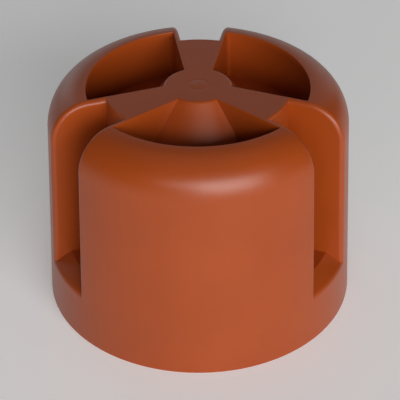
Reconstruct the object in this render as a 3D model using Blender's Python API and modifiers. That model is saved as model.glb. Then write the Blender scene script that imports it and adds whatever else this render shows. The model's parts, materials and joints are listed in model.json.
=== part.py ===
"""Roof vent cap: a bell of brick-red plastic with three tall slots in its side and three
open chambers in its top. Metres, +Z up, origin at the centre of the bottom rim.

The cap repeats three times round its axis. Three arms run from a small hub to the shoulder,
one at the back (+Y) and two towards the front. Each arm ends in a slot that is cut down
through the skin, and between the arms a chamber is open to the sky.
"""
import math

import bmesh
import bpy
from mathutils import Matrix, Vector

# Bell: the outer skin, its shoulder and its flat crown
BASE_RADIUS = 0.118
SKIN_TOP_RADIUS = 0.1115
SKIN_TOP_HEIGHT = 0.1459
SHOULDER_WIDTH = 0.0288
SHOULDER_RISE = 0.0296
SKIN_WALL = 0.0036

# Arms, hub and hat
HUB_RADIUS = 0.0242
HAT_DROP_PER_RADIUS = 1.28
HAT_RADIUS = 0.068
HAT_WALL = 0.0034
ARM_END_RADIUS = 0.0688
ARM_END_WALL = 0.0036
ARM_END_ROUND = 0.0013
ARM_SPREAD = math.radians(9.93)
ARM_INNER_OFFSET = 0.0024
PARTITION_WALL = 0.0043

# Slots
SLOT_FLOOR_HEIGHT = 0.0472
SLOT_FLOOR_WALL = 0.0036
SLOT_SLOPE_RADIUS = 0.1027
SLOT_SLOPE_FALL = 0.0077
SLOT_EDGE_ROUND = 0.0036
SLOT_SILL_ROUND = 0.005

# Chambers
OPENING_RADIUS = 0.0821
CHAMBER_RADIUS = 0.085
CHAMBER_WALL = 0.0033
CHAMBER_CORNER = 0.005
LEDGE_DEPTH = 0.0403
LEDGE_WALL = 0.0033
LEDGE_INNER_RADIUS = 0.070

# Socket for the vent pipe: six ribs that guide it and stop its end
PIPE_RADIUS = 0.055
PIPE_CLEARANCE = 0.0006
PIPE_WALL = 0.0032
PIPE_STOP_HEIGHT = 0.112
PIPE_STOP_REACH = 0.004

# Division of the curved surfaces
TURN_STEPS = 72
SHOULDER_STEPS = 7
ROUND_STEPS = 3

ARM_COUNT = 3
ARM_ANGLES = [math.pi / 2 + index * math.tau / ARM_COUNT for index in range(ARM_COUNT)]
CHAMBER_ANGLES = [angle + math.pi / ARM_COUNT for angle in ARM_ANGLES]
HEIGHT = SKIN_TOP_HEIGHT + SHOULDER_RISE
CEILING = HEIGHT - SKIN_WALL
LEDGE_TOP = HEIGHT - LEDGE_DEPTH
LEDGE_UNDER = LEDGE_TOP - LEDGE_WALL
SECTOR_ROOT = SLOT_FLOOR_HEIGHT / 2
OVERSHOOT = 0.01
PLASTIC_RGB = (0.40, 0.095, 0.038)
PLASTIC_ROUGHNESS = 0.42


def skin_radius(height):
    """Outer radius of the skin's straight part at a height."""
    share = height / SKIN_TOP_HEIGHT
    return BASE_RADIUS + (SKIN_TOP_RADIUS - BASE_RADIUS) * share


def hat_radius(height):
    """Outer radius of the hat's cone at a height."""
    return HUB_RADIUS + (HEIGHT - height) / HAT_DROP_PER_RADIUS


def hat_height(radius):
    """Height of the hat's cone at a radius."""
    return HEIGHT - (radius - HUB_RADIUS) * HAT_DROP_PER_RADIUS


def hat_inner_radius(height):
    """Radius of the hat's inner face at a height, for a wall of true thickness."""
    lean = math.atan(HAT_DROP_PER_RADIUS)
    return hat_radius(height) - HAT_WALL / math.sin(lean)


def bell_outline(inset):
    """Crown, shoulder and skin from the axis down to the rim, moved inwards by inset."""
    points = [(0.0, HEIGHT - inset)]
    for step in range(SHOULDER_STEPS + 1):
        turn = math.pi / 2 * (1 - step / SHOULDER_STEPS)
        radius = SKIN_TOP_RADIUS - SHOULDER_WIDTH + (SHOULDER_WIDTH - inset) * math.cos(turn)
        height = SKIN_TOP_HEIGHT + (SHOULDER_RISE - inset) * math.sin(turn)
        points.append((radius, height))
    points.append((BASE_RADIUS - inset, 0.0))
    return points


def sill_outline(inset):
    """Slot floor from the axis outwards, its slope and its soft edge, tangent to the skin."""
    edge_height = SLOT_FLOOR_HEIGHT - SLOT_SLOPE_FALL
    edge_radius = skin_radius(edge_height)
    slope_turn = math.pi / 2 - math.atan2(SLOT_SLOPE_FALL, edge_radius - SLOT_SLOPE_RADIUS)
    taper = math.atan2(BASE_RADIUS - SKIN_TOP_RADIUS, SKIN_TOP_HEIGHT)
    setback = SLOT_SILL_ROUND * math.tan((slope_turn - taper) / 2)
    centre = (edge_radius + setback * math.sin(taper) - SLOT_SILL_ROUND * math.cos(taper),
              edge_height - setback * math.cos(taper) - SLOT_SILL_ROUND * math.sin(taper))
    points = [(0.0, SLOT_FLOOR_HEIGHT - inset), (SLOT_SLOPE_RADIUS, SLOT_FLOOR_HEIGHT - inset)]
    for step in range(ROUND_STEPS + 1):
        turn = slope_turn + (taper - slope_turn) * step / ROUND_STEPS
        reach = SLOT_SILL_ROUND - inset
        points.append((centre[0] + reach * math.cos(turn), centre[1] + reach * math.sin(turn)))
    return points


def place(radius, angle):
    """Plan position of a point at a radius and an angle."""
    return Vector((radius * math.cos(angle), radius * math.sin(angle)))


def turned_plan(points, angle):
    """Plan points turned about the axis."""
    turn = Matrix.Rotation(angle, 2)
    return [turn @ Vector(point) for point in points]


def arm_half_width(distance, offset):
    """Half width of an arm at a distance along it, for a face at this offset from its middle."""
    return offset + distance * math.tan(ARM_SPREAD)


def face_offset(depth):
    """Offset at the axis of an arm face that lies this deep in the partition wall."""
    return ARM_INNER_OFFSET + depth / math.cos(ARM_SPREAD)


def reach_on_arm(radius, offset):
    """Distance along the arm at which its face meets a circle round the axis."""
    slope = math.tan(ARM_SPREAD)
    square = 1 + slope ** 2
    return (math.sqrt(square * radius ** 2 - offset ** 2) - slope * offset) / square


def arm_plan(inner_radius, outer_radius, offset):
    """Outline of the space between an arm's two faces, along +X, between two circles."""
    near = reach_on_arm(inner_radius, offset)
    far = reach_on_arm(outer_radius, offset)
    near_turn = math.atan2(arm_half_width(near, offset), near)
    points = [(far, -arm_half_width(far, offset)), (far, arm_half_width(far, offset))]
    arc_steps = 2 * ROUND_STEPS
    for step in range(arc_steps + 1):
        points.append(place(inner_radius, near_turn * (1 - 2 * step / arc_steps)))
    return points


def rib_plans(inner_radius, outer_radius):
    """Outlines of an arm's two ribs, along +X, each as thick as the partition wall."""
    plans = []
    for side in (1, -1):
        points = []
        for radius, offset in ((inner_radius, face_offset(0)), (outer_radius, face_offset(0)),
                               (outer_radius, face_offset(PARTITION_WALL)),
                               (inner_radius, face_offset(PARTITION_WALL))):
            reach = reach_on_arm(radius, offset)
            points.append((reach, side * arm_half_width(reach, offset)))
        plans.append(points)
    return plans


def sector_plan(offset, outer_radius, corner=0.0):
    """Outline between two neighbouring arms, along +X, with rounded outer corners."""
    half_turn = math.pi / ARM_COUNT
    side_turn = half_turn - ARM_SPREAD
    apex = offset * math.cos(ARM_SPREAD) / math.sin(side_turn)
    side = Vector((math.cos(side_turn), math.sin(side_turn)))
    inward = Vector((math.sin(side_turn), -math.cos(side_turn)))
    centre_radius = outer_radius - corner
    start = Vector((apex, 0.0)) + inward * corner
    run = start.dot(side)
    along = math.sqrt(run ** 2 - start.length_squared + centre_radius ** 2) - run
    centre = start + side * along
    centre_turn = math.atan2(centre.y, centre.x)
    arc = []
    corner_steps = ROUND_STEPS if corner else 0
    for step in range(corner_steps + 1):
        share = step / corner_steps if corner_steps else 1.0
        turn = (side_turn + math.pi / 2) * (1 - share) + centre_turn * share
        arc.append(centre + corner * Vector((math.cos(turn), math.sin(turn))))
    wall_steps = TURN_STEPS // ARM_COUNT
    crown = [place(outer_radius, centre_turn * (1 - 2 * step / wall_steps))
             for step in range(1, wall_steps)]
    mirrored = [Vector((point.x, -point.y)) for point in reversed(arc)]
    return [Vector((apex, 0.0))] + arc + crown + mirrored


def link(name, mesh, collection):
    """New object with this mesh in a collection."""
    item = bpy.data.objects.new(name, mesh)
    collection.objects.link(item)
    return item


def turned(name, outline, collection, ring=False):
    """Solid turned from (radius, height) points that run down its outer side first.

    An outline of a ring closes on itself; the others start and end on the axis.
    """
    mesh = bpy.data.meshes.new(name)
    vertices = [(radius, 0.0, height) for radius, height in outline]
    edges = [(index, index + 1) for index in range(len(vertices) - 1)]
    if ring:
        edges.append((len(vertices) - 1, 0))
    mesh.from_pydata(vertices, edges, [])
    item = link(name, mesh, collection)
    screw = item.modifiers.new("Turn", "SCREW")
    screw.axis = "Z"
    screw.angle = math.tau
    screw.steps = TURN_STEPS
    screw.render_steps = TURN_STEPS
    screw.use_merge_vertices = True
    screw.merge_threshold = 0.00001
    return item


def extruded(name, plans, bottom, top, collection):
    """Upright prisms over plan outlines, all in one mesh."""
    shape = bmesh.new()
    for plan in plans:
        corners = [shape.verts.new((point[0], point[1], bottom)) for point in plan]
        floor = shape.faces.new(corners)
        result = bmesh.ops.extrude_face_region(shape, geom=[floor])
        raised = [part for part in result["geom"] if isinstance(part, bmesh.types.BMVert)]
        bmesh.ops.translate(shape, verts=raised, vec=(0.0, 0.0, top - bottom))
    bmesh.ops.recalc_face_normals(shape, faces=shape.faces)
    mesh = bpy.data.meshes.new(name)
    shape.to_mesh(mesh)
    shape.free()
    return link(name, mesh, collection)


def combine(item, other, operation):
    """Boolean of one object with another."""
    modifier = item.modifiers.new(operation.title(), "BOOLEAN")
    modifier.operation = operation
    modifier.solver = "MANIFOLD"
    modifier.object = other
    return item


def round_sharp_edges(item, width):
    """Bevel that follows only the edges sharper than the shoulder's facets."""
    bevel = item.modifiers.new("Round", "BEVEL")
    bevel.width = width
    bevel.segments = ROUND_STEPS
    bevel.limit_method = "ANGLE"
    bevel.angle_limit = math.radians(60)


def hide_cutters(collection):
    """Helpers show as wires and stay out of the render."""
    for item in collection.objects:
        item.hide_render = True
        item.display_type = "WIRE"


def shell_sector(helpers, angle):
    """Solid piece of the bell between two slots, with rounded slot edges."""
    root_radius = skin_radius(SECTOR_ROOT)
    outline = bell_outline(0.0)[:-1] + [(root_radius, SECTOR_ROOT)]
    outline += [(root_radius - OVERSHOOT, SECTOR_ROOT - OVERSHOOT), (0.0, SECTOR_ROOT - OVERSHOOT)]
    piece = turned("sector_body", outline, helpers)
    plan = sector_plan(face_offset(0), BASE_RADIUS + OVERSHOOT)
    prism = extruded("sector_plan", [turned_plan(plan, angle)], 0.0, HEIGHT + OVERSHOOT, helpers)
    combine(piece, prism, "INTERSECT")
    round_sharp_edges(piece, SLOT_EDGE_ROUND)
    return piece


def core_outline():
    """Profile of the core whose rim makes the three arm ends, with a rounded top edge."""
    points = [(0.0, HEIGHT)]
    for step in range(ROUND_STEPS + 1):
        turn = math.pi / 2 * (1 - step / ROUND_STEPS)
        points.append((ARM_END_RADIUS - ARM_END_ROUND * (1 - math.cos(turn)),
                       HEIGHT - ARM_END_ROUND * (1 - math.sin(turn))))
    return points + [(ARM_END_RADIUS, SECTOR_ROOT), (0.0, SECTOR_ROOT)]


def outer_solid(cap_collection, helpers):
    """The cap's outside as a solid: foot, three shell sectors and the arms' core."""
    foot = sill_outline(0.0) + [(skin_radius(SECTOR_ROOT), SECTOR_ROOT)]
    foot += [(BASE_RADIUS, 0.0), (0.0, 0.0)]
    cap = turned("vent_cap", foot, cap_collection)
    for angle in CHAMBER_ANGLES:
        combine(cap, shell_sector(helpers, angle), "UNION")
    combine(cap, turned("arm_core", core_outline(), helpers), "UNION")
    return cap


def slot_housings(helpers):
    """Solid round each slot that the inner hollow leaves standing."""
    outline = [(0.0, HEIGHT + OVERSHOOT), (BASE_RADIUS + OVERSHOOT, HEIGHT + OVERSHOOT)]
    under = sill_outline(SLOT_FLOOR_WALL)
    outline.append((BASE_RADIUS + OVERSHOOT, under[-1][1] - OVERSHOOT))
    outline += reversed(under)
    housing = turned("housing_body", outline, helpers)
    plan = arm_plan(ARM_END_RADIUS - ARM_END_WALL, BASE_RADIUS + 2 * OVERSHOOT,
                    face_offset(PARTITION_WALL))
    plans = [turned_plan(plan, angle) for angle in ARM_ANGLES]
    prism = extruded("housing_plan", plans, 0.0, HEIGHT + 2 * OVERSHOOT, helpers)
    return combine(housing, prism, "INTERSECT")


def inner_hollow(helpers):
    """The space under the cap, open at the foot, round all that hangs from the crown."""
    inner = bell_outline(SKIN_WALL)[:-1]
    inner += [(skin_radius(-OVERSHOOT) - SKIN_WALL, -OVERSHOOT), (0.0, -OVERSHOOT)]
    hollow = turned("hollow", inner, helpers)
    combine(hollow, slot_housings(helpers), "DIFFERENCE")

    block_radius = CHAMBER_RADIUS + CHAMBER_WALL
    block = [(0.0, HEIGHT), (block_radius, HEIGHT), (block_radius, LEDGE_UNDER), (0.0, LEDGE_UNDER)]
    combine(hollow, turned("chamber_block", block, helpers), "DIFFERENCE")

    brim = hat_height(HAT_RADIUS)
    hat = [(hat_radius(LEDGE_TOP), LEDGE_TOP), (HAT_RADIUS, brim),
           (hat_inner_radius(brim), brim), (hat_inner_radius(LEDGE_TOP), LEDGE_TOP)]
    combine(hollow, turned("hat_brim", hat, helpers, ring=True), "DIFFERENCE")

    rib_outer = ARM_END_RADIUS - ARM_END_WALL / 2
    guide = rib_plans(PIPE_RADIUS + PIPE_CLEARANCE, rib_outer)
    stop = rib_plans(PIPE_RADIUS - PIPE_WALL - PIPE_STOP_REACH, rib_outer)
    for name, plans, bottom, top in (
            ("pipe_guides", guide, SLOT_FLOOR_HEIGHT - SLOT_FLOOR_WALL, PIPE_STOP_HEIGHT),
            ("pipe_stops", stop, PIPE_STOP_HEIGHT, LEDGE_TOP)):
        around = [turned_plan(plan, angle) for plan in plans for angle in ARM_ANGLES]
        combine(hollow, extruded(name, around, bottom, top, helpers), "DIFFERENCE")
    return hollow


def star_hollow(helpers):
    """The space inside the hat and the three arms, up to the crown."""
    start = LEDGE_UNDER - LEDGE_WALL
    cone = [(0.0, CEILING), (hat_inner_radius(CEILING), CEILING),
            (hat_inner_radius(start), start), (0.0, start)]
    hollow = turned("hat_hollow", cone, helpers)
    offset = face_offset(0)
    plan = arm_plan(offset * 2, ARM_END_RADIUS - ARM_END_WALL, offset)
    plans = [turned_plan(plan, angle) for angle in ARM_ANGLES]
    return combine(hollow, extruded("arm_channels", plans, start, CEILING, helpers), "UNION")


def chambers(helpers):
    """The three open chambers and the vent gap between their ledge and the hat."""
    top = HEIGHT + OVERSHOOT
    below = LEDGE_UNDER - LEDGE_WALL
    outline = [(OPENING_RADIUS, top), (OPENING_RADIUS, CEILING), (CHAMBER_RADIUS, CEILING),
               (CHAMBER_RADIUS, LEDGE_TOP), (LEDGE_INNER_RADIUS, LEDGE_TOP), (LEDGE_INNER_RADIUS, below),
               (hat_radius(below), below), (HUB_RADIUS, HEIGHT), (HUB_RADIUS, top)]
    ring = turned("chamber_body", outline, helpers, ring=True)
    plan = sector_plan(face_offset(PARTITION_WALL), CHAMBER_RADIUS + CHAMBER_WALL / 4, CHAMBER_CORNER)
    plans = [turned_plan(plan, angle) for angle in CHAMBER_ANGLES]
    prism = extruded("chamber_plan", plans, below - OVERSHOOT, top + OVERSHOOT, helpers)
    return combine(ring, prism, "INTERSECT")


def plastic():
    """Satin brick-red polypropylene."""
    material = bpy.data.materials.new("brick_red_polypropylene")
    material.use_nodes = True
    shader = material.node_tree.nodes["Principled BSDF"]
    shader.inputs["Base Color"].default_value = (*PLASTIC_RGB, 1.0)
    shader.inputs["Roughness"].default_value = PLASTIC_ROUGHNESS
    shader.inputs["Metallic"].default_value = 0.0
    return material


def main():
    for item in list(bpy.data.objects):
        bpy.data.objects.remove(item, do_unlink=True)
    cap_collection = bpy.data.collections.new("roof_vent_cap")
    helpers = bpy.data.collections.new("cutters")
    for collection in (cap_collection, helpers):
        bpy.context.scene.collection.children.link(collection)

    cap = outer_solid(cap_collection, helpers)
    combine(cap, inner_hollow(helpers), "DIFFERENCE")
    combine(cap, star_hollow(helpers), "DIFFERENCE")
    combine(cap, chambers(helpers), "DIFFERENCE")
    cap.data.materials.append(plastic())
    hide_cutters(helpers)


main()
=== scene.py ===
"""Roof vent cap in brick-red polypropylene, standing on a pale studio floor.

The cap repeats three times round its axis and each third is its own mirror image, so half a
third is built finely here and a node tree mirrors and turns it into the whole moulding.
"""

import json
import math

import bmesh
import bpy
from mathutils import Matrix, Vector

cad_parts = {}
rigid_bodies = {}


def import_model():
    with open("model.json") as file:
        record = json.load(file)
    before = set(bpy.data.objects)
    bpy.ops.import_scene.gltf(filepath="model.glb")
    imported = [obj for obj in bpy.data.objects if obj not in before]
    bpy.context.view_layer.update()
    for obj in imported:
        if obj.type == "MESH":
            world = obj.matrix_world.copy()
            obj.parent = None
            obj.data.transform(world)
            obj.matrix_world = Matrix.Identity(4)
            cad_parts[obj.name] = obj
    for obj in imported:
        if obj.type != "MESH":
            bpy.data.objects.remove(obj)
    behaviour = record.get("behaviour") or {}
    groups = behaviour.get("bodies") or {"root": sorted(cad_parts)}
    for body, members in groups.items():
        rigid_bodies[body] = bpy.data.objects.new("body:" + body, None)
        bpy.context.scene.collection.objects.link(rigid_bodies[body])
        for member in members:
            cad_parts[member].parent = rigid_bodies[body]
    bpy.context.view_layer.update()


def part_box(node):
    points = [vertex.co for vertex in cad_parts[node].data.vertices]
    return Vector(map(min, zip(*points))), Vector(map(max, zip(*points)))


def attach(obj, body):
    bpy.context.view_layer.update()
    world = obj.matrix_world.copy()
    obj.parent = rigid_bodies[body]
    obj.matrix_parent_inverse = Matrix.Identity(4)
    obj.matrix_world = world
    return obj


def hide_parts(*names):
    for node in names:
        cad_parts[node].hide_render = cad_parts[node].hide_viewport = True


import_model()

MM = 0.001

# Overall size, from the solid that this piece stands for
CAP_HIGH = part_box("vent_cap")[1]
BASE_RADIUS = CAP_HIGH.x
HEIGHT = CAP_HIGH.z

# Bell: skin, shoulder and crown
SHOULDER_WIDTH = 28.8 * MM
SHOULDER_RISE = 29.6 * MM
SKIN_TOP_RADIUS = 111.5 * MM
SKIN_TOP_HEIGHT = HEIGHT - SHOULDER_RISE
SKIN_WALL = 3.6 * MM
RIM_ROUND = 0.4 * MM

# Arms, hub and hat
HUB_RADIUS = 24.2 * MM
HUB_ROUND = 3.0 * MM
GATE_RING_RADIUS = 7.4 * MM
GATE_RING_HALF_WIDTH = 1.6 * MM
GATE_RING_DEPTH = 0.15 * MM
HAT_DROP_PER_RADIUS = 1.28
HAT_RADIUS = 68.0 * MM
HAT_WALL = 3.4 * MM
ARM_END_RADIUS = 68.8 * MM
ARM_END_WALL = 3.6 * MM
ARM_END_ROUND = 1.3 * MM
ARM_SPREAD = math.radians(9.93)
ARM_INNER_OFFSET = 2.4 * MM
PARTITION_WALL = 4.3 * MM

# Slots
SLOT_FLOOR_HEIGHT = 47.2 * MM
SLOT_FLOOR_WALL = 3.6 * MM
SLOT_SLOPE_RADIUS = 102.7 * MM
SLOT_SLOPE_FALL = 7.7 * MM
SLOT_EDGE_ROUND = 3.6 * MM
SLOT_SILL_ROUND = 5.0 * MM

# Chambers
OPENING_RADIUS = 82.1 * MM
CHAMBER_RADIUS = 85.0 * MM
CHAMBER_WALL = 3.3 * MM
CHAMBER_CORNER = 5.0 * MM
MOUTH_ROUND = 0.6 * MM
LEDGE_DEPTH = 40.3 * MM
LEDGE_WALL = 3.3 * MM
LEDGE_INNER_RADIUS = 70.0 * MM

# Pipe socket
PIPE_RADIUS = 55.0 * MM
PIPE_CLEARANCE = 0.6 * MM
PIPE_WALL = 3.2 * MM
PIPE_STOP_HEIGHT = 112.0 * MM
PIPE_STOP_REACH = 4.0 * MM

# Fineness of the curved surfaces
TURN_STEPS = 360
SHOULDER_STEPS = 28
ROUND_STEPS = 8
CORNER_STEPS = 12
SMOOTH_ANGLE = math.radians(28)
TURN_MERGE = 0.001 * MM
SEAM_MERGE = 0.004 * MM
SEAM_CUT = 0.001 * MM

# Camera: where it stood for the photo, and its lens on its sensor
CAMERA_DISTANCE = 1083.0 * MM
CAMERA_ELEVATION = math.radians(35.48)
CAMERA_TURN = math.radians(1.42)
CAMERA_ROLL = -0.0089
CAMERA_TARGET_HEIGHT = 72.0 * MM
CAMERA_LENS_MM = 126.05
CAMERA_SENSOR_MM = 36.0
CAMERA_SHIFT = 0.0026

# Studio, in metres
FLOOR_REACH = 12.0
LIGHT_DISTANCE = 4.0
LOW_LIGHT_DISTANCE = 4.4
TOP_LIGHT_HEIGHT = 2.0

ARM_COUNT = 3
FRONT = -math.pi / 2
HALF_THIRD = math.pi / ARM_COUNT
CEILING = HEIGHT - SKIN_WALL
LEDGE_TOP = HEIGHT - LEDGE_DEPTH
LEDGE_UNDER = LEDGE_TOP - LEDGE_WALL
TAPER = math.atan2(BASE_RADIUS - SKIN_TOP_RADIUS, SKIN_TOP_HEIGHT)

# How far helpers reach into the solid that they join, and past the one that they cut
OVERLAP = 8.0 * MM
OVERSHOOT = 10.0 * MM


def skin_radius(height):
    """Outer radius of the skin's straight part at a height."""
    return BASE_RADIUS + (SKIN_TOP_RADIUS - BASE_RADIUS) * height / SKIN_TOP_HEIGHT


def hat_radius(height):
    """Outer radius of the hat's cone at a height."""
    return HUB_RADIUS + (HEIGHT - height) / HAT_DROP_PER_RADIUS


def hat_inner_radius(height):
    """Radius of the hat's inner face at a height."""
    return hat_radius(height) - HAT_WALL / math.sin(math.atan(HAT_DROP_PER_RADIUS))


def arc(centre, radius, start, end, steps):
    """Points on an arc in the (radius, height) half plane."""
    points = []
    for step in range(steps + 1):
        turn = start + (end - start) * step / steps
        points.append((centre[0] + radius * math.cos(turn), centre[1] + radius * math.sin(turn)))
    return points


def bell_outline(inset):
    """Crown and shoulder from the axis to the top of the skin, moved inwards by inset."""
    points = [(0.0, HEIGHT - inset)]
    for step in range(SHOULDER_STEPS + 1):
        turn = math.pi / 2 * (1 - step / SHOULDER_STEPS)
        points.append((SKIN_TOP_RADIUS - SHOULDER_WIDTH + (SHOULDER_WIDTH - inset) * math.cos(turn),
                       SKIN_TOP_HEIGHT + (SHOULDER_RISE - inset) * math.sin(turn)))
    return points


def sill_outline(inset):
    """Slot floor from the axis outwards, its slope and its soft edge, tangent to the skin."""
    edge_height = SLOT_FLOOR_HEIGHT - SLOT_SLOPE_FALL
    edge_radius = skin_radius(edge_height)
    slope_turn = math.pi / 2 - math.atan2(SLOT_SLOPE_FALL, edge_radius - SLOT_SLOPE_RADIUS)
    setback = SLOT_SILL_ROUND * math.tan((slope_turn - TAPER) / 2)
    centre = (edge_radius + setback * math.sin(TAPER) - SLOT_SILL_ROUND * math.cos(TAPER),
              edge_height - setback * math.cos(TAPER) - SLOT_SILL_ROUND * math.sin(TAPER))
    flat = [(0.0, SLOT_FLOOR_HEIGHT - inset), (SLOT_SLOPE_RADIUS, SLOT_FLOOR_HEIGHT - inset)]
    return flat + arc(centre, SLOT_SILL_ROUND - inset, slope_turn, TAPER, ROUND_STEPS)


def place(radius, angle):
    """Plan position of a point at a radius and an angle."""
    return Vector((radius * math.cos(angle), radius * math.sin(angle)))


def turned_plan(points, angle):
    """Plan points turned about the axis."""
    turn = Matrix.Rotation(angle, 2)
    return [turn @ Vector(point) for point in points]


def face_offset(depth):
    """Offset at the axis of an arm face that lies this deep in the partition wall."""
    return ARM_INNER_OFFSET + depth / math.cos(ARM_SPREAD)


def arm_half_width(distance, offset):
    """Half width of an arm at a distance along it."""
    return offset + distance * math.tan(ARM_SPREAD)


def reach_on_arm(radius, offset):
    """Distance along the arm at which its face meets a circle round the axis."""
    slope = math.tan(ARM_SPREAD)
    square = 1 + slope ** 2
    return (math.sqrt(square * radius ** 2 - offset ** 2) - slope * offset) / square


def arm_plan(inner_radius, outer_radius, offset):
    """Outline of the space between an arm's two faces, along +X, between two circles."""
    near = reach_on_arm(inner_radius, offset)
    far = reach_on_arm(outer_radius, offset)
    near_turn = math.atan2(arm_half_width(near, offset), near)
    far_turn = math.atan2(arm_half_width(far, offset), far)
    shares = [2 * step / CORNER_STEPS - 1 for step in range(CORNER_STEPS + 1)]
    outer = [place(outer_radius, far_turn * share) for share in shares]
    inner = [place(inner_radius, -near_turn * share) for share in shares]
    return outer + inner


def rib_plan(inner_radius, outer_radius):
    """Outline of the arm's rib on this side, as thick as the partition wall."""
    corners = ((inner_radius, 0), (outer_radius, 0),
               (outer_radius, PARTITION_WALL), (inner_radius, PARTITION_WALL))
    return [place(radius, sector_turn(radius, depth)) for radius, depth in corners]


def sector_plan(offset, outer_radius, corner=0.0):
    """Outline between two neighbouring arms, along +X, with rounded outer corners."""
    side_turn = HALF_THIRD - ARM_SPREAD
    apex = offset * math.cos(ARM_SPREAD) / math.sin(side_turn)
    side = Vector((math.cos(side_turn), math.sin(side_turn)))
    inward = Vector((math.sin(side_turn), -math.cos(side_turn)))
    start = Vector((apex, 0.0)) + inward * corner
    run = start.dot(side)
    along = math.sqrt(run ** 2 - start.length_squared + (outer_radius - corner) ** 2) - run
    centre = start + side * along
    centre_turn = math.atan2(centre.y, centre.x)
    bend = [centre]
    if corner:
        bend = []
        for step in range(CORNER_STEPS + 1):
            share = step / CORNER_STEPS
            turn = (side_turn + math.pi / 2) * (1 - share) + centre_turn * share
            bend.append(centre + place(corner, turn))
    wall_steps = TURN_STEPS // ARM_COUNT
    crown = [place(outer_radius, centre_turn * (1 - 2 * step / wall_steps))
             for step in range(1, wall_steps)]
    mirrored = [Vector((point.x, -point.y)) for point in reversed(bend)]
    return [Vector((apex, 0.0))] + bend + crown + mirrored


def link(name, mesh):
    """New object with this mesh in the scene."""
    item = bpy.data.objects.new(name, mesh)
    bpy.context.scene.collection.objects.link(item)
    return item


def turned(name, outline, ring=False):
    """Solid turned from (radius, height) points that run down its outer side first."""
    mesh = bpy.data.meshes.new(name)
    vertices = [(radius, 0.0, height) for radius, height in outline]
    edges = [(index, index + 1) for index in range(len(vertices) - 1)]
    if ring:
        edges.append((len(vertices) - 1, 0))
    mesh.from_pydata(vertices, edges, [])
    item = link(name, mesh)
    screw = item.modifiers.new("Turn", "SCREW")
    screw.axis = "Z"
    screw.angle = math.tau
    screw.steps = TURN_STEPS
    screw.render_steps = TURN_STEPS
    screw.use_merge_vertices = True
    screw.merge_threshold = TURN_MERGE
    return item


def stacked(name, levels):
    """Upright solid through plan outlines at rising heights: levels of (height, outline)."""
    shape = bmesh.new()
    rings = [[shape.verts.new((*point, height)) for point in plan] for height, plan in levels]
    shape.faces.new(rings[0])
    shape.faces.new(rings[-1])
    for lower, upper in zip(rings, rings[1:]):
        for index in range(len(lower)):
            shape.faces.new((lower[index - 1], lower[index], upper[index], upper[index - 1]))
    bmesh.ops.recalc_face_normals(shape, faces=shape.faces)
    mesh = bpy.data.meshes.new(name)
    shape.to_mesh(mesh)
    shape.free()
    return link(name, mesh)


def combine(item, other, operation):
    """Boolean of one object with another."""
    modifier = item.modifiers.new(operation.title(), "BOOLEAN")
    modifier.operation = operation
    modifier.solver = "MANIFOLD"
    modifier.object = other
    return item


def sector_turn(radius, depth):
    """Angle from the shell's middle to a point at a radius, this deep behind the slot's wall."""
    offset = face_offset(depth)
    reach = reach_on_arm(radius, offset)
    return HALF_THIRD - math.atan2(arm_half_width(reach, offset), reach)


def shell_profile():
    """Rows of the shell from its foot to the hidden end of its crown: radius, height, normal."""
    foot_radius, foot_height = sill_outline(0.0)[-1]
    # The foot's skin goes on under the sill, so the shell starts a little inside it
    sunk = SLOT_SILL_ROUND / 2
    rows = [(foot_radius - sunk, foot_height - sunk, (1.0, 0.0)),
            (foot_radius, foot_height, (1.0, 0.0))]
    for step in range(SHOULDER_STEPS + 1):
        turn = math.pi / 2 * step / SHOULDER_STEPS
        across, along = math.cos(turn), math.sin(turn)
        length = math.hypot(across / SHOULDER_WIDTH, along / SHOULDER_RISE)
        rows.append((SKIN_TOP_RADIUS - SHOULDER_WIDTH * (1 - across),
                     SKIN_TOP_HEIGHT + SHOULDER_RISE * along,
                     (across / SHOULDER_WIDTH / length, along / SHOULDER_RISE / length)))
    rows.append((ARM_END_RADIUS - OVERLAP, HEIGHT, (0.0, 1.0)))
    return rows


def shell_row(radius, height, normal, foot_turns):
    """Half of one row round the shell: the skin from its middle, then the rounded slot edge."""
    start = sector_turn(radius, SLOT_EDGE_ROUND)
    points = [(*place(radius, turn * start / foot_turns[-1]), height) for turn in foot_turns]
    for step in range(1, ROUND_STEPS + 1):
        turn = math.pi / 2 * step / ROUND_STEPS
        inset = SLOT_EDGE_ROUND * (1 - math.cos(turn))
        depth = SLOT_EDGE_ROUND * (1 - math.sin(turn))
        inner = radius - inset * normal[0]
        points.append((*place(inner, sector_turn(inner, depth)), height - inset * normal[1]))
    return points


def shell_sector():
    """Solid piece of the bell between two slots, centred on +X, with rounded slot edges."""
    rows = shell_profile()
    foot_radius = rows[1][0]
    step_turn = math.tau / TURN_STEPS
    start = sector_turn(foot_radius, SLOT_EDGE_ROUND)
    foot_turns = [step_turn * index for index in range(int(start / step_turn) + 1)] + [start]
    shape = bmesh.new()
    grid = []
    for radius, height, normal in rows:
        half = shell_row(radius, height, normal, foot_turns)
        whole = [(x, -y, z) for x, y, z in reversed(half[1:])] + half
        grid.append([shape.verts.new(point) for point in whole])
    grid.append([shape.verts.new((vertex.co.x, vertex.co.y, rows[0][1])) for vertex in grid[-1]])
    for lower, upper in zip(grid, grid[1:]):
        for index in range(len(lower) - 1):
            shape.faces.new((lower[index], lower[index + 1], upper[index + 1], upper[index]))
    for column in (0, -1):
        shape.faces.new([row[column] for row in grid])
    shape.faces.new(grid[0] + grid[-1][::-1])
    bmesh.ops.recalc_face_normals(shape, faces=shape.faces)
    mesh = bpy.data.meshes.new("shell_sector")
    shape.to_mesh(mesh)
    shape.free()
    return link("shell_sector", mesh)


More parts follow.
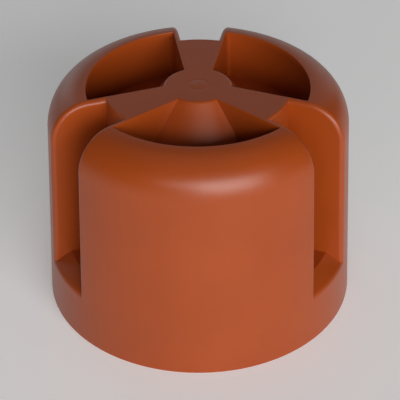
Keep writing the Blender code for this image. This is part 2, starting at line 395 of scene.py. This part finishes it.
def outer_solid():
    """The cap's outside as a solid: foot, one shell sector and the core of the arms."""
    rim_centre = (BASE_RADIUS - RIM_ROUND, RIM_ROUND)
    rim = arc(rim_centre, RIM_ROUND, TAPER, -math.pi / 2, ROUND_STEPS)
    cap = turned("vent_cap_body", sill_outline(0.0) + rim + [(0.0, 0.0)])
    combine(cap, shell_sector(), "UNION")
    core = [(0.0, HEIGHT)]
    core += arc((ARM_END_RADIUS - ARM_END_ROUND, HEIGHT - ARM_END_ROUND), ARM_END_ROUND,
                math.pi / 2, 0.0, ROUND_STEPS)
    core += [(ARM_END_RADIUS, SLOT_FLOOR_HEIGHT / 2), (0.0, SLOT_FLOOR_HEIGHT / 2)]
    return combine(cap, turned("arm_core", core), "UNION")


def slot_housing():
    """Solid round the slot that the inner hollow leaves standing."""
    reach = BASE_RADIUS + OVERSHOOT
    under = sill_outline(SLOT_FLOOR_WALL)
    outline = [(0.0, HEIGHT + OVERSHOOT), (reach, HEIGHT + OVERSHOOT),
               (reach, under[-1][1] - OVERSHOOT)]
    housing = turned("housing_body", outline + under[::-1])
    plan = arm_plan(ARM_END_RADIUS - ARM_END_WALL, reach + OVERSHOOT, face_offset(PARTITION_WALL))
    plan = turned_plan(plan, HALF_THIRD)
    prism = stacked("housing_plan", [(0.0, plan), (HEIGHT + 2 * OVERSHOOT, plan)])
    return combine(housing, prism, "INTERSECT")


def inner_hollow():
    """The space under the cap, open at the foot, round all that hangs from the crown."""
    rim = (skin_radius(-OVERSHOOT) - SKIN_WALL, -OVERSHOOT)
    hollow = turned("hollow", bell_outline(SKIN_WALL) + [rim, (0.0, -OVERSHOOT)])
    combine(hollow, slot_housing(), "DIFFERENCE")
    block_radius = CHAMBER_RADIUS + CHAMBER_WALL
    block = [(0.0, HEIGHT), (block_radius, HEIGHT),
             (block_radius, LEDGE_UNDER), (0.0, LEDGE_UNDER)]
    combine(hollow, turned("chamber_block", block), "DIFFERENCE")
    brim = HEIGHT - (HAT_RADIUS - HUB_RADIUS) * HAT_DROP_PER_RADIUS
    hat = [(hat_radius(LEDGE_TOP), LEDGE_TOP), (HAT_RADIUS, brim),
           (hat_inner_radius(brim), brim), (hat_inner_radius(LEDGE_TOP), LEDGE_TOP)]
    combine(hollow, turned("hat_brim", hat, ring=True), "DIFFERENCE")
    # The ribs end in the middle of the arm's end wall, which they join
    rib_outer = ARM_END_RADIUS - ARM_END_WALL / 2
    guide = rib_plan(PIPE_RADIUS + PIPE_CLEARANCE, rib_outer)
    stop = rib_plan(PIPE_RADIUS - PIPE_WALL - PIPE_STOP_REACH, rib_outer)
    for name, plan, bottom, top in (
            ("pipe_guide", guide, SLOT_FLOOR_HEIGHT - SLOT_FLOOR_WALL, PIPE_STOP_HEIGHT),
            ("pipe_stop", stop, PIPE_STOP_HEIGHT, LEDGE_TOP)):
        combine(hollow, stacked(name, [(bottom, plan), (top, plan)]), "DIFFERENCE")
    return hollow


def star_hollow():
    """The space inside the hat and the arm, up to the crown."""
    start = LEDGE_UNDER - LEDGE_WALL
    cone = [(0.0, CEILING), (hat_inner_radius(CEILING), CEILING),
            (hat_inner_radius(start), start), (0.0, start)]
    hollow = turned("hat_hollow", cone)
    offset = face_offset(0)
    plan = turned_plan(arm_plan(offset * 2, ARM_END_RADIUS - ARM_END_WALL, offset), HALF_THIRD)
    return combine(hollow, stacked("arm_channel", [(start, plan), (CEILING, plan)]), "UNION")


def chamber():
    """The open chamber with its rounded mouth, and the vent gap between its ledge and the hat."""
    top = HEIGHT + OVERSHOOT
    below = LEDGE_UNDER - LEDGE_WALL
    lean = math.atan(HAT_DROP_PER_RADIUS)
    hub_setback = HUB_ROUND * math.tan(lean / 2)
    hub_centre = (HUB_RADIUS - hub_setback, HEIGHT - HUB_ROUND)
    hub_edge = arc(hub_centre, HUB_ROUND, math.pi / 2 - lean, math.pi / 2, ROUND_STEPS)
    lip_centre = (OPENING_RADIUS + MOUTH_ROUND, HEIGHT - MOUTH_ROUND)
    lip_edge = arc(lip_centre, MOUTH_ROUND, math.pi / 2, math.pi, ROUND_STEPS)
    outline = [(OPENING_RADIUS + MOUTH_ROUND, top)] + lip_edge
    outline += [(OPENING_RADIUS, CEILING), (CHAMBER_RADIUS, CEILING), (CHAMBER_RADIUS, LEDGE_TOP)]
    outline += [(LEDGE_INNER_RADIUS, LEDGE_TOP), (LEDGE_INNER_RADIUS, below)]
    outline += [(hat_radius(below), below)]
    outline += hub_edge + [(hub_centre[0], top)]
    ring = turned("chamber_body", outline, ring=True)
    # A little wider than the ring, which alone sets where the chamber ends
    wide = CHAMBER_RADIUS + CHAMBER_WALL / 4
    levels = [(below - OVERSHOOT, 0.0)]
    for step in range(ROUND_STEPS + 1):
        turn = math.pi / 2 * step / ROUND_STEPS
        levels.append((HEIGHT - MOUTH_ROUND * (1 - math.sin(turn)),
                       MOUTH_ROUND * (1 - math.cos(turn))))
    levels.append((top + OVERSHOOT, MOUTH_ROUND))
    stack = [(height, sector_plan(face_offset(PARTITION_WALL - flare), wide, CHAMBER_CORNER))
             for height, flare in levels]
    return combine(ring, stacked("chamber_plan", stack), "INTERSECT")


def gate_ring():
    """Shallow ring that the mould's gate leaves in the middle of the hub."""
    bend = (GATE_RING_HALF_WIDTH ** 2 + GATE_RING_DEPTH ** 2) / (2 * GATE_RING_DEPTH)
    reach = math.asin(GATE_RING_HALF_WIDTH / bend)
    centre = (GATE_RING_RADIUS, HEIGHT - GATE_RING_DEPTH + bend)
    groove = arc(centre, bend, -math.pi / 2 + reach, -math.pi / 2 - reach, ROUND_STEPS)
    top = HEIGHT + OVERSHOOT
    return turned("gate_ring", groove + [(groove[-1][0], top), (groove[0][0], top)], ring=True)


def baked(item):
    """Plain mesh of an object with its modifiers worked out."""
    bpy.context.view_layer.update()
    graph = bpy.context.evaluated_depsgraph_get()
    return bpy.data.meshes.new_from_object(item.evaluated_get(graph))


def half_third(mesh):
    """Keeps the wedge from the middle of the chamber to the middle of the arm."""
    shape = bmesh.new()
    shape.from_mesh(mesh)
    for normal in ((0.0, -1.0, 0.0), (*place(1.0, HALF_THIRD + math.pi / 2), 0.0)):
        everything = shape.verts[:] + shape.edges[:] + shape.faces[:]
        bmesh.ops.bisect_plane(shape, geom=everything, plane_co=(0.0, 0.0, 0.0), plane_no=normal,
                               clear_outer=True, dist=SEAM_CUT)
    shape.to_mesh(mesh)
    shape.free()


def add_node(tree, kind, settings=None, links=None):
    """Node with its settings, and sockets set to a value or linked from another socket."""
    node = tree.nodes.new(kind)
    for name, value in (settings or {}).items():
        setattr(node, name, value)
    for socket, value in (links or {}).items():
        target = node.inputs[socket]
        if isinstance(value, bpy.types.NodeSocket):
            tree.links.new(value, target)
        else:
            target.default_value = value
    return node


def linear(hex_colour):
    """Linear RGBA of an sRGB hex colour."""
    channels = []
    for start in (1, 3, 5):
        value = int(hex_colour[start:start + 2], 16) / 255
        channels.append(value / 12.92 if value <= 0.04045 else ((value + 0.055) / 1.055) ** 2.4)
    return (*channels, 1.0)


def moulded_polypropylene():
    """Brick-red polypropylene, injection moulded in a finely textured mould.

    The eye sees an even satin skin: soft broad highlights and a grain finer than half a
    millimetre, drawn here a little coarser so that it shows.
    """
    material = bpy.data.materials.new("moulded_polypropylene_brick_red")
    material.use_nodes = True
    tree = material.node_tree
    shader = tree.nodes["Principled BSDF"]
    shader.inputs["IOR"].default_value = 1.49
    shader.inputs["Metallic"].default_value = 0.0
    coordinates = add_node(tree, "ShaderNodeTexCoord").outputs["Object"]
    grain_size = 0.9 * MM
    grain = add_node(tree, "ShaderNodeTexNoise", links={
        "Vector": coordinates, "Scale": 1 / grain_size, "Detail": 2.0, "Roughness": 0.6})
    # The tone changes faintly along the wall, as the melt flowed
    flow_size = 60.0 * MM
    flow = add_node(tree, "ShaderNodeTexNoise", links={
        "Vector": coordinates, "Scale": 1 / flow_size, "Detail": 3.0, "Roughness": 0.55})
    tone = add_node(tree, "ShaderNodeValToRGB", links={"Fac": flow.outputs["Fac"]})
    tone.color_ramp.elements[0].position = 0.3
    tone.color_ramp.elements[0].color = linear("#A64614")
    tone.color_ramp.elements[1].position = 0.7
    tone.color_ramp.elements[1].color = linear("#AC4A15")
    tree.links.new(tone.outputs["Color"], shader.inputs["Base Color"])
    polish = add_node(tree, "ShaderNodeMapRange", links={
        "Value": grain.outputs["Fac"], "To Min": 0.30, "To Max": 0.41})
    tree.links.new(polish.outputs["Result"], shader.inputs["Roughness"])
    relief = add_node(tree, "ShaderNodeBump", links={
        "Height": grain.outputs["Fac"], "Strength": 0.25, "Distance": 0.05 * MM})
    tree.links.new(relief.outputs["Normal"], shader.inputs["Normal"])
    return material


def mirrored_turns():
    """Node tree that mirrors half a third and turns it round the axis into the whole cap."""
    tree = bpy.data.node_groups.new("mirrored_turns", "GeometryNodeTree")
    panel = tree.interface
    panel.new_socket("Half Third", in_out="INPUT", socket_type="NodeSocketGeometry")
    panel.new_socket("Thirds", in_out="INPUT", socket_type="NodeSocketInt")
    panel.new_socket("First Turn", in_out="INPUT", socket_type="NodeSocketFloat")
    panel.new_socket("Seam Merge", in_out="INPUT", socket_type="NodeSocketFloat")
    panel.new_socket("Finish", in_out="INPUT", socket_type="NodeSocketMaterial")
    panel.new_socket("Cap", in_out="OUTPUT", socket_type="NodeSocketGeometry")
    given = add_node(tree, "NodeGroupInput").outputs
    flipped = add_node(tree, "GeometryNodeTransform", links={
        "Geometry": given["Half Third"], "Scale": (1.0, -1.0, 1.0)})
    faced = add_node(tree, "GeometryNodeFlipFaces", links={"Mesh": flipped.outputs["Geometry"]})
    third = add_node(tree, "GeometryNodeJoinGeometry", links={"Geometry": given["Half Third"]})
    tree.links.new(faced.outputs["Mesh"], third.inputs["Geometry"])
    axis_points = add_node(tree, "GeometryNodePoints", links={"Count": given["Thirds"]})
    step = add_node(tree, "ShaderNodeMath", {"operation": "DIVIDE"})
    step.inputs[0].default_value = math.tau
    tree.links.new(given["Thirds"], step.inputs[1])
    turn = add_node(tree, "ShaderNodeMath", {"operation": "MULTIPLY_ADD"})
    tree.links.new(add_node(tree, "GeometryNodeInputIndex").outputs["Index"], turn.inputs[0])
    tree.links.new(step.outputs["Value"], turn.inputs[1])
    tree.links.new(given["First Turn"], turn.inputs[2])
    rotation = add_node(tree, "ShaderNodeCombineXYZ", links={"Z": turn.outputs["Value"]})
    placed = add_node(tree, "GeometryNodeInstanceOnPoints", links={
        "Points": axis_points.outputs["Points"], "Instance": third.outputs["Geometry"],
        "Rotation": rotation.outputs["Vector"]})
    real = add_node(tree, "GeometryNodeRealizeInstances", links={
        "Geometry": placed.outputs["Instances"]})
    whole = add_node(tree, "GeometryNodeMergeByDistance", links={
        "Geometry": real.outputs["Geometry"], "Distance": given["Seam Merge"]})
    finished = add_node(tree, "GeometryNodeSetMaterial", links={
        "Geometry": whole.outputs["Geometry"], "Material": given["Finish"]})
    add_node(tree, "NodeGroupOutput", links={"Cap": finished.outputs["Geometry"]})
    return tree


def tree_inputs(modifier, values):
    """Sets a node modifier's inputs by their names."""
    for item in modifier.node_group.interface.items_tree:
        if item.in_out == "INPUT" and item.name in values:
            modifier[item.identifier] = values[item.name]


def build_cap():
    """The whole cap as one plain mesh with smooth roundings and crisp inner corners."""
    helpers_before = set(bpy.data.objects)
    solid = outer_solid()
    for hollow in (inner_hollow(), star_hollow(), chamber(), gate_ring()):
        combine(solid, hollow, "DIFFERENCE")
    wedge = baked(solid)
    for helper in set(bpy.data.objects) - helpers_before:
        bpy.data.objects.remove(helper, do_unlink=True)
    half_third(wedge)

    pattern = link("half_third", wedge)
    turns = pattern.modifiers.new("Turns", "NODES")
    turns.node_group = mirrored_turns()
    tree_inputs(turns, {"Thirds": ARM_COUNT, "First Turn": FRONT, "Seam Merge": SEAM_MERGE,
                        "Finish": moulded_polypropylene()})
    whole = baked(pattern)
    bpy.data.objects.remove(pattern, do_unlink=True)

    whole.shade_smooth()
    whole.set_sharp_from_angle(angle=SMOOTH_ANGLE)
    cap = link("moulded_cap", whole)
    normals = cap.modifiers.new("Normals", "WEIGHTED_NORMAL")
    normals.keep_sharp = True
    finished = baked(cap)
    cap.modifiers.clear()
    cap.data = finished
    return cap


def area_light(name, size, power, position):
    """Soft white panel of a size in metres and a power in watts, aimed at the middle of the cap."""
    lamp = bpy.data.lights.new(name, "AREA")
    lamp.shape = "RECTANGLE"
    lamp.size, lamp.size_y = size
    lamp.energy = power
    item = bpy.data.objects.new(name, lamp)
    bpy.context.scene.collection.objects.link(item)
    item.location = position
    aim = Vector((0.0, 0.0, HEIGHT / 2)) - Vector(position)
    item.rotation_euler = aim.to_track_quat("-Z", "Y").to_euler()


def from_camera(turn, elevation, distance):
    """Point at a turn to the camera's right and an elevation, both in degrees, and a distance."""
    azimuth = CAMERA_TURN + math.radians(turn)
    flat = distance * math.cos(math.radians(elevation))
    return Vector((flat * math.sin(azimuth), -flat * math.cos(azimuth),
                   distance * math.sin(math.radians(elevation)) + CAMERA_TARGET_HEIGHT))


def add_camera():
    """Camera at the photo's viewing angle."""
    data = bpy.data.cameras.new("camera")
    data.lens = CAMERA_LENS_MM
    data.sensor_width = CAMERA_SENSOR_MM
    data.shift_x = CAMERA_SHIFT
    item = bpy.data.objects.new("camera", data)
    bpy.context.scene.collection.objects.link(item)
    back = Vector((math.sin(CAMERA_TURN) * math.cos(CAMERA_ELEVATION),
                   -math.cos(CAMERA_TURN) * math.cos(CAMERA_ELEVATION),
                   math.sin(CAMERA_ELEVATION)))
    right = Vector((0.0, 0.0, 1.0)).cross(back).normalized()
    up = back.cross(right)
    rolled_right = right * math.cos(CAMERA_ROLL) + up * math.sin(CAMERA_ROLL)
    rolled_up = up * math.cos(CAMERA_ROLL) - right * math.sin(CAMERA_ROLL)
    item.rotation_euler = Matrix((rolled_right, rolled_up, back)).transposed().to_euler()
    item.location = Vector((0.0, 0.0, CAMERA_TARGET_HEIGHT)) + back * CAMERA_DISTANCE
    bpy.context.scene.camera = item


def matt_white_paint():
    """White wall paint, rolled on and quite matt.

    The eye sees an even pale ground without a highlight. Its weak glow stands for the light that
    a white studio throws back on it.
    """
    material = bpy.data.materials.new("matt_white_paint")
    material.use_nodes = True
    shader = material.node_tree.nodes["Principled BSDF"]
    shader.inputs["Base Color"].default_value = linear("#F4F4F4")
    shader.inputs["Roughness"].default_value = 0.9
    shader.inputs["Emission Color"].default_value = linear("#FFFFFF")
    shader.inputs["Emission Strength"].default_value = 0.2
    return material


def add_floor():
    """Plain white studio floor, larger than any view of the cap shows."""
    mesh = bpy.data.meshes.new("studio_floor")
    corners = [(-FLOOR_REACH, -FLOOR_REACH, 0.0), (FLOOR_REACH, -FLOOR_REACH, 0.0),
               (FLOOR_REACH, FLOOR_REACH, 0.0), (-FLOOR_REACH, FLOOR_REACH, 0.0)]
    mesh.from_pydata(corners, [], [(0, 1, 2, 3)])
    mesh.materials.append(matt_white_paint())
    floor = link("studio_floor", mesh)


def add_lights():
    """Two soft lights on the camera's side, weak ones above and behind, and a dim white room."""
    area_light("key", (3.0, 2.0), 120.0, from_camera(21.0, 18.0, LIGHT_DISTANCE))
    area_light("front", (2.4, 0.8), 20.0, from_camera(-6.0, 24.0, LIGHT_DISTANCE))
    area_light("top", (1.6, 1.6), 1.6, (0.0, 0.0, TOP_LIGHT_HEIGHT))
    area_light("back_high", (4.8, 2.4), 8.0, from_camera(180.0, 34.0, LIGHT_DISTANCE))
    area_light("back_low", (6.0, 1.6), 17.0, from_camera(180.0, 10.0, LOW_LIGHT_DISTANCE))
    area_light("back_left", (2.4, 2.4), 8.0, from_camera(-140.0, 17.0, LIGHT_DISTANCE))
    world = bpy.data.worlds.new("studio_white")
    world.use_nodes = True
    sky = world.node_tree.nodes["Background"]
    sky.inputs["Color"].default_value = linear("#FFFFFF")
    sky.inputs["Strength"].default_value = 0.03
    bpy.context.scene.world = world


cap = build_cap()
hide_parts("vent_cap")
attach(cap, "root")
add_camera()
add_floor()
add_lights()
bpy.context.scene.view_settings.view_transform = "Standard"
